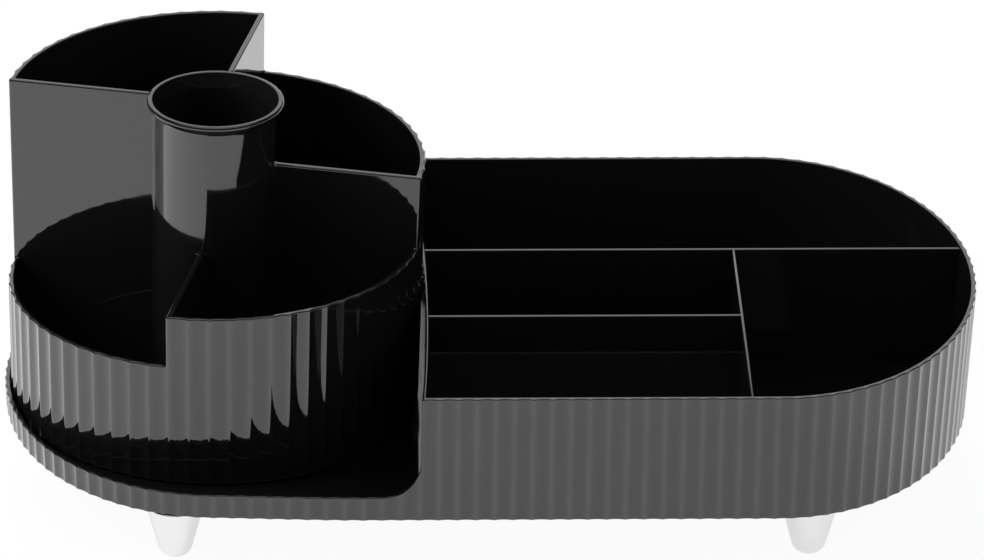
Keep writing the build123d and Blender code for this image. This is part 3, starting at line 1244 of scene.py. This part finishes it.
    def build(self, plastic: bpy.types.Material) -> bpy.types.Object:
        """Builds the base as one moulding.

        Args:
            plastic: The gloss plastic.

        Returns:
            The base's object.
        """
        piece = self.moulding("base_moulding")
        piece.add_grid(*self.end_wall_rows())
        low = self.bottom - 2 * SPARE
        hub = [
            (self.recess_radius, low, 0.0), (self.hub_radius, low, 0.0),
            (self.hub_radius, self.hub_top, self.hub_rounding),
            (self.hub_bore, self.hub_top, self.hub_rounding), (self.hub_bore, self.recess_ceiling, 0.0),
            (self.recess_radius, self.recess_ceiling, 0.0), (self.recess_radius, low, 0.0),
        ]
        piece.add_grid(lathe(hub, self.bearing.axis, self.hub_segments))
        piece.add_grid(self.bearing.rib(self.floor - ROOT, self.floor + self.bearing.track_height))
        end = self.bottom - self.boss_length
        boss = post(self.boss_radius, end, self.bottom + ROOT, self.boss_rounding)
        for side_x in (-1, 1):
            for side_y in (-1, 1):
                spot = (self.middle_x + side_x * self.foot_x, side_y * self.foot_y)
                piece.add_grid(lathe(boss, spot, self.boss_segments))
        return piece.build(plastic)


@dataclass
class Foot:
    """A plated foot: a tapered cone with a round tip, pressed over a boss of the base."""

    node: str
    top_radius: float = 10.1
    tip_radius: float = 4.95
    tip_rounding: float = 4.3
    edge_rounding: float = 0.35
    socket_radius: float = 4.55
    socket_depth: float = 9.5
    socket_rounding: float = 0.2
    segments: int = 128

    def build(self, plating: bpy.types.Material) -> bpy.types.Object:
        """Builds the foot round the axis of its node.

        Args:
            plating: The bright plating.

        Returns:
            The foot's object.
        """
        low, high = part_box(self.node)
        place = ((low.x + high.x) / 2 / MM, (low.y + high.y) / 2 / MM)
        top = high.z / MM
        socket_end = top - self.socket_depth
        profile = [
            (0.0, 0.0, 0.0), (self.tip_radius, 0.0, self.tip_rounding),
            (self.top_radius, top, self.edge_rounding), (self.socket_radius, top, self.socket_rounding),
            (self.socket_radius, socket_end, 0.0), (0.0, socket_end, 0.0),
        ]
        piece = MeshPiece(f"{self.node}_plated")
        piece.add_grid(lathe(profile, place, self.segments))
        return piece.build(plating)


# The studio round the object


@dataclass(frozen=True)
class Lamp:
    """A square soft lamp: its place and side in metres, and its power in watts."""

    name: str
    place: tuple[float, float, float]
    size: float
    power: float

    def build(self, target: tuple[float, float, float]) -> None:
        """Adds the lamp, facing a target; it isn't mirrored in the object.

        Args:
            target: The place that it faces, in metres.
        """
        data = bpy.data.lights.new(self.name, "AREA")
        data.shape = "SQUARE"
        data.size = self.size
        data.energy = self.power
        lamp = new_object(self.name, data)
        lamp.location = self.place
        lamp.visible_glossy = False
        lamp.rotation_euler = (Vector(target) - Vector(self.place)).to_track_quat("-Z", "Y").to_euler()


@dataclass
class Studio:
    """A pale floor, soft lamps and the camera at the photograph's angle, in metres and degrees."""

    focal_pixels: float = 9813.7
    distance: float = 3.4097
    azimuth: float = -2.41
    elevation: float = 26.34
    roll: float = 0.854
    aside: float = 0.002066
    above: float = 0.012686
    target: tuple[float, float, float] = (-0.001009, 0.0, 0.05107)
    frame_width: int = 984
    sensor: float = 36.0
    far_clip: float = 50.0
    floor_half: float = 4.0
    floor_colour: tuple[float, float, float, float] = (0.95, 0.95, 0.95, 1.0)
    floor_glow: float = 0.95
    mirrored_glow: float = 0.7
    fill: float = 0.36
    backdrop_way: tuple[float, float, float] = (0.0, 0.9, 0.44)
    backdrop_edge: float = 0.86
    backdrop_full: float = 0.94
    ceiling_edge: float = 0.78
    ceiling_full: float = 0.9
    dark_room: float = 0.02
    backdrop: float = 0.88
    lamps: tuple[Lamp, ...] = (
        Lamp("back_lamp", (-0.2, 1.9, 1.15), 0.8, 52.0),
        Lamp("left_lamp", (-0.62, -0.05, 0.42), 0.35, 3.4),
        Lamp("right_lamp", (1.6, 0.5, 1.0), 0.7, 8.0),
    )

    def camera(self) -> None:
        """Sets up the camera: it looks at the target from an azimuth and elevation and rolls a little."""
        azimuth = math.radians(self.azimuth)
        elevation = math.radians(self.elevation)
        roll = math.radians(self.roll)
        level_back = Vector((math.sin(azimuth), -math.cos(azimuth), 0.0))
        back = level_back * math.cos(elevation) + Vector((0.0, 0.0, math.sin(elevation)))
        level = (-back).cross(Vector((0, 0, 1))).normalized()
        upright = level.cross(-back)
        right = level * math.cos(roll) + upright * math.sin(roll)
        up = upright * math.cos(roll) - level * math.sin(roll)
        place = Vector(self.target) + right * self.aside + up * self.above + back * self.distance
        data = bpy.data.cameras.new("camera")
        data.sensor_width = self.sensor
        data.lens = self.focal_pixels * self.sensor / self.frame_width
        data.clip_end = self.far_clip
        camera = new_object("camera", data)
        camera.matrix_world = Matrix.Translation(place) @ Matrix((right, up, back)).transposed().to_4x4()
        bpy.context.scene.camera = camera

    def floor(self) -> None:
        """Makes the pale floor, which looks white to the camera and in reflections and keeps the shadow."""
        half = self.floor_half
        mesh = bpy.data.meshes.new("floor")
        corners = [(-half, -half, 0.0), (half, -half, 0.0), (half, half, 0.0), (-half, half, 0.0)]
        mesh.from_pydata(corners, [], [(0, 1, 2, 3)])
        material = bpy.data.materials.new("Pale Floor")
        tools = NodeTools.emptied(material)
        rays = tools.node("ShaderNodeLightPath").outputs
        matte = tools.node("ShaderNodeBsdfDiffuse", {"Color": self.floor_colour})
        glow = tools.node("ShaderNodeEmission", {"Strength": 1.0})
        direct = tools.compute("MAXIMUM", rays["Is Camera Ray"], rays["Is Transmission Ray"])
        mirrored = tools.compute("MULTIPLY", rays["Is Glossy Ray"], self.mirrored_glow)
        blend = tools.node("ShaderNodeMixShader", {
            "Fac": tools.compute("MULTIPLY_ADD", direct, self.floor_glow, mirrored),
            1: matte.outputs["BSDF"],
            2: glow.outputs["Emission"],
        })
        tools.node("ShaderNodeOutputMaterial", {"Surface": blend.outputs["Shader"]})
        mesh.materials.append(material)
        floor = new_object("floor", mesh)

    def world(self) -> None:
        """Sets the world: white to the camera, a white backdrop in a dark room to reflections, and a fill.

        The backdrop is a round patch of directions, behind the object and above it, with a soft edge, and
        a second patch right above the object stands for a soft ceiling light.
        """
        white = (1.0, 1.0, 1.0, 1.0)
        world = bpy.data.worlds.new("studio")
        tools = NodeTools.emptied(world)
        rays = tools.node("ShaderNodeLightPath").outputs
        way = tools.node("ShaderNodeTexCoord").outputs["Generated"]
        nearness = tools.node("ShaderNodeVectorMath", operation="DOT_PRODUCT", sockets={
            0: way, 1: self.backdrop_way,
        })
        height = tools.node("ShaderNodeSeparateXYZ", {"Vector": way})
        patch = tools.smooth_step({
            "Value": nearness.outputs["Value"], "From Min": self.backdrop_edge,
            "From Max": self.backdrop_full, "To Min": self.dark_room,
        })
        ceiling = tools.smooth_step({
            "Value": height.outputs["Z"], "From Min": self.ceiling_edge, "From Max": self.ceiling_full,
        })
        mirrored = tools.node("ShaderNodeBackground", {
            "Color": tools.compute("MAXIMUM", patch, ceiling), "Strength": self.backdrop,
        })
        fill = tools.node("ShaderNodeBackground", {"Color": white, "Strength": self.fill})
        seen = tools.node("ShaderNodeBackground", {"Color": white})
        soft = tools.node("ShaderNodeMixShader", {
            "Fac": rays["Is Glossy Ray"], 1: fill.outputs["Background"], 2: mirrored.outputs["Background"],
        })
        blend = tools.node("ShaderNodeMixShader", {
            "Fac": tools.compute("MAXIMUM", rays["Is Camera Ray"], rays["Is Transmission Ray"]),
            1: soft.outputs["Shader"],
            2: seen.outputs["Background"],
        })
        tools.node("ShaderNodeOutputWorld", {"Surface": blend.outputs["Shader"]})
        bpy.context.scene.world = world

    def build(self) -> None:
        """Sets up camera, floor, world and lamps."""
        self.camera()
        self.floor()
        self.world()
        for lamp in self.lamps:
            lamp.build(self.target)


def add_piece(piece: bpy.types.Object, body: Body, node: str) -> None:
    """Puts a finished piece on its body in place of a node of the part.

    Args:
        piece: The finished object.
        body: The body that it rides on.
        node: The node that it stands for.
    """
    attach(piece, body.value)
    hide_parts(node)
    LOG.info("%s: %d faces on %s", piece.name, len(piece.data.polygons), body.value)


def dress_nodes(names: list[str], material: bpy.types.Material) -> None:
    """Gives nodes of the part a better material.

    Args:
        names: The nodes.
        material: Their material.
    """
    for name in names:
        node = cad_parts[name]
        node.data.materials.clear()
        node.data.materials.append(material)
        LOG.info("%s: dressed in %s", name, material.name)


def main() -> None:
    """Builds the studio and the object, in order."""
    logging.basicConfig(level=logging.INFO)
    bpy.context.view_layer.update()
    bpy.context.scene.view_settings.view_transform = "Standard"
    Studio().build()
    effects = SurfaceEffects()
    plastic = GLOSS_BLACK.material(effects)
    plating = BRIGHT_PLATING.material(effects)
    add_piece(Base().build(plastic), Body.BASE, "base_tray")
    add_piece(Caddy().build(plastic), Body.CADDY, "caddy")
    for name in sorted(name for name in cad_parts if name.startswith("foot_")):
        add_piece(Foot(name).build(plating), Body.BASE, name)
    balls = sorted(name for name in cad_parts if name.startswith("bearing_ball_"))
    dress_nodes(balls, HARD_STEEL.material(effects))
    dress_nodes(["ball_cage"], NATURAL_ACETAL.material(effects))
    dress_nodes(["pivot_washer", "pivot_screw"], ZINC_PLATE.material(effects))


if __name__ == "__main__":
    main()
